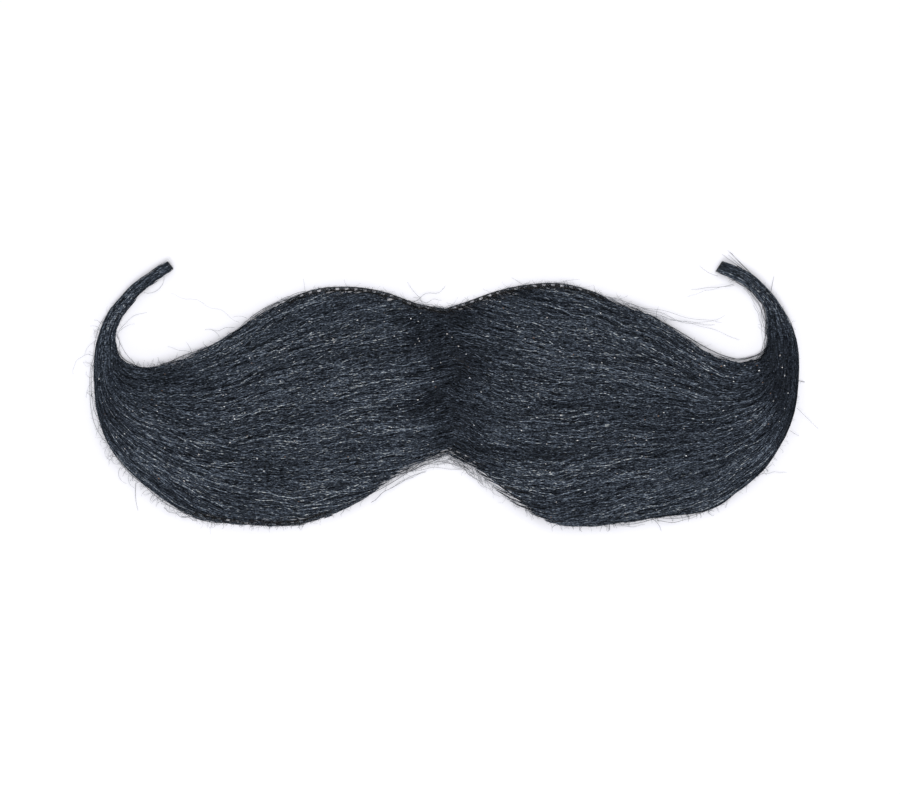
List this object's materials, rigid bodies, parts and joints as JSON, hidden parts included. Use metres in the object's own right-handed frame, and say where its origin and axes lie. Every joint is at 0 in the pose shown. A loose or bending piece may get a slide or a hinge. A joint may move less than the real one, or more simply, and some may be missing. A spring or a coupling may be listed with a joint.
{
  "type": "fake moustache",
  "caption": "Handlebar stage moustache of combed dark synthetic hair on a net backing pierced along its rim, with flat curls rising to square-cut tips, lying on its back.",
  "frame": {"origin": "middle of the parting, on the back of the net", "axes": "+X across the face from the left wing of the picture to the right one, +Y up the face, +Z out of the face"},
  "size_m": [0.1401, 0.0529, 0.0059],
  "materials": {
    "combed_hair": "combed synthetic hair, satin",
    "glued_hair": "hair pressed flat and stiffened with glue",
    "black_net": "matt knitted net"
  },
  "bodies": {
    "root": {"net_backing": "black_net", "left_hair": "combed_hair", "right_hair": "combed_hair", "left_curl": "glued_hair", "right_curl": "glued_hair"}
  },
  "joints": []
}
